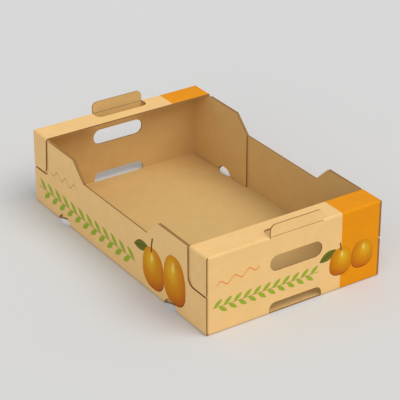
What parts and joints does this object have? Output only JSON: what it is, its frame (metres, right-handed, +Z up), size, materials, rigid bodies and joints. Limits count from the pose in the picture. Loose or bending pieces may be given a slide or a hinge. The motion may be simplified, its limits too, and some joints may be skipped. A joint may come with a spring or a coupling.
{
  "type": "cardboard tray box",
  "caption": "Open stackable fruit tray folded from printed corrugated cardboard, with a shelf, a stacking tab and a hand hole at each end and low side walls.",
  "frame": {"origin": "centre of the footprint, on the surface that the tray stands on", "axes": "+X across the width, towards the orange side; +Y along the length; +Z up"},
  "size_m": [0.375, 0.6, 0.176],
  "materials": {
    "board": "matte; printed tan liner with an orange side outside, bare kraft liner inside"
  },
  "bodies": {
    "root": {"tray": "board"}
  },
  "joints": []
}
